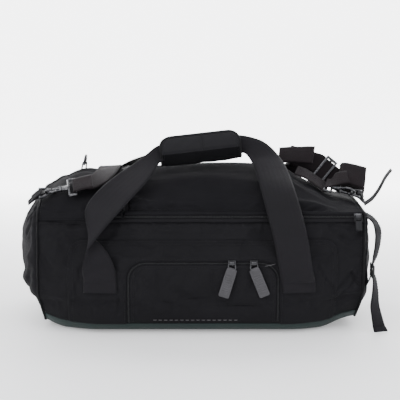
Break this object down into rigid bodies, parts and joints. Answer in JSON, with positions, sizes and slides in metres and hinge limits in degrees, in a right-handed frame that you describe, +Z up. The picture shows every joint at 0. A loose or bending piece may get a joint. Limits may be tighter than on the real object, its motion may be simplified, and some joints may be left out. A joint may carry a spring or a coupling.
{
  "type": "duffel gear bag",
  "caption": "Soft black duffel gear bag with a zipped lid, zipped front pocket, webbing handles with a wrapped grip, and a clipped shoulder strap.",
  "frame": {"origin": "centre of the base where the bag rests on the floor", "axes": "+X along the bag, the front pocket faces -Y, +Z up"},
  "size_m": [0.5558, 0.3166, 0.2942],
  "materials": {
    "coated_base": "coated, low sheen",
    "stiffener": "matte",
    "body_fabric": "woven polyester",
    "lining": "smooth lining",
    "piping": "covered cord",
    "zip_tape": "coil zip on tape",
    "slider_metal": "black nickel",
    "pull_dark": "moulded",
    "pull_grey": "moulded, ribbed",
    "handle_webbing": "twill webbing",
    "grip_fabric": "padded, bound",
    "hardware_metal": "black nickel",
    "strap_webbing": "twill webbing",
    "buckle_plastic": "moulded"
  },
  "bodies": {
    "root": {"base_panel": "coated_base", "base_board": "stiffener", "front_panel": "body_fabric", "front_overlay": "body_fabric", "back_panel": "body_fabric", "left_end_cap": "body_fabric", "right_end_cap": "body_fabric", "left_piping": "piping", "right_piping": "piping", "top_left_panel": "body_fabric", "top_right_panel": "body_fabric", "main_zip_body": "zip_tape", "pocket_lining": "lining", "pocket_zip_frame": "zip_tape", "front_leg_patches": "handle_webbing", "rear_leg_patches": "handle_webbing", "left_ring_tab": "handle_webbing", "left_ring": "hardware_metal", "left_hook": "hardware_metal", "left_hook_eye": "hardware_metal", "rear_ring_tab": "handle_webbing", "right_ring_tab": "handle_webbing", "right_ring": "hardware_metal", "right_hook": "hardware_metal", "right_hook_eye": "hardware_metal", "strap_web_left": "strap_webbing", "strap_web_right": "strap_webbing", "strap_return": "strap_webbing", "strap_bundle": "strap_webbing", "side_strap": "strap_webbing", "side_strap_tail": "strap_webbing", "ladder_lock": "buckle_plastic", "ladder_lock_tab": "strap_webbing"},
    "lid": {"lid_panel": "body_fabric", "main_zip_lid": "zip_tape"},
    "handle_front": {"front_handle_left_web": "handle_webbing", "front_handle_right_web": "handle_webbing", "grip_wrap": "grip_fabric"},
    "handle_rear": {"rear_handle_web": "handle_webbing"},
    "main_slider": {"main_slider": "slider_metal"},
    "main_pull": {"main_pull": "pull_dark"},
    "pocket_flap": {"pocket_flap": "body_fabric", "pocket_zip_flap": "zip_tape"},
    "pocket_slider_left": {"pocket_slider_left": "slider_metal"},
    "pocket_slider_right": {"pocket_slider_right": "slider_metal"},
    "pocket_pull_left": {"pocket_pull_left": "pull_grey"},
    "pocket_pull_right": {"pocket_pull_right": "pull_grey"},
    "rear_ring": {"rear_ring": "hardware_metal"},
    "left_hook_gate": {"left_hook_gate": "hardware_metal"},
    "right_hook_gate": {"right_hook_gate": "hardware_metal"},
    "strap_glide": {"strap_glide": "hardware_metal"}
  },
  "joints": [
    {"name": "lid_open", "type": "hinge", "parent": "root", "child": "lid", "pos_m": [0, 0.109, 0.175], "axis": [-1, 0, 0], "range_deg": [0, 90]},
    {"name": "handle_front_swing", "type": "hinge", "parent": "root", "child": "handle_front", "pos_m": [0, -0.1464, 0.0814], "axis": [1, 0, 0], "range_deg": [0, 100]},
    {"name": "handle_rear_swing", "type": "hinge", "parent": "root", "child": "handle_rear", "pos_m": [0, 0.1444, 0.0756], "axis": [-1, 0, 0], "range_deg": [0, 100]},
    {"name": "main_slider_travel", "type": "slide", "parent": "root", "child": "main_slider", "axis": [-1, 0, 0], "range_m": [0, 0.357]},
    {"name": "main_pull_swing", "type": "hinge", "parent": "main_slider", "child": "main_pull", "pos_m": [0.239, -0.11666, 0.17144], "axis": [-1, 0, 0], "range_deg": [0, 95]},
    {"name": "pocket_flap_open", "type": "hinge", "parent": "root", "child": "pocket_flap", "pos_m": [0.012, -0.13872, 0.01724], "axis": [1, 0, 0], "range_deg": [0, 60]},
    {"name": "pocket_slider_left_travel", "type": "slide", "parent": "pocket_flap", "child": "pocket_slider_left", "axis": [1, 0, 0], "range_m": [-0.115, 0.012]},
    {"name": "pocket_slider_right_travel", "type": "slide", "parent": "pocket_flap", "child": "pocket_slider_right", "axis": [1, 0, 0], "range_m": [-0.01, 0.004]},
    {"name": "pocket_pull_left_swing", "type": "hinge", "parent": "pocket_slider_left", "child": "pocket_pull_left", "pos_m": [0.054, -0.14562, 0.10562], "axis": [-1, 0, 0], "range_deg": [0, 100]},
    {"name": "pocket_pull_right_swing", "type": "hinge", "parent": "pocket_slider_right", "child": "pocket_pull_right", "pos_m": [0.086, -0.14562, 0.10562], "axis": [-1, 0, 0], "range_deg": [0, 100]},
    {"name": "rear_ring_tilt", "type": "hinge", "parent": "root", "child": "rear_ring", "pos_m": [-0.174, 0.028, 0.2315], "axis": [0, 1, 0], "range_deg": [-40, 40]},
    {"name": "left_gate_open", "type": "hinge", "parent": "root", "child": "left_hook_gate", "pos_m": [-0.19945, -0.08759, 0.20802], "axis": [0.1972, -0.3595, -0.9121], "range_deg": [0, 22], "stiffness_Nm_per_rad": 0.01, "springref_deg": -17.19},
    {"name": "right_gate_open", "type": "hinge", "parent": "root", "child": "right_hook_gate", "pos_m": [0.22361, -0.01657, 0.19457], "axis": [-0.3107, -0.5146, -0.7992], "range_deg": [0, 22], "stiffness_Nm_per_rad": 0.01, "springref_deg": -17.19},
    {"name": "strap_glide_slide", "type": "slide", "parent": "root", "child": "strap_glide", "axis": [0.766, -0.1008, -0.6349], "range_m": [-0.006, 0.006]}
  ],
  "couplings": [
    {"joint": "handle_front_swing", "follows": "lid_open", "ratio": 1.1},
    {"joint": "handle_rear_swing", "follows": "lid_open", "ratio": 1.1}
  ]
}
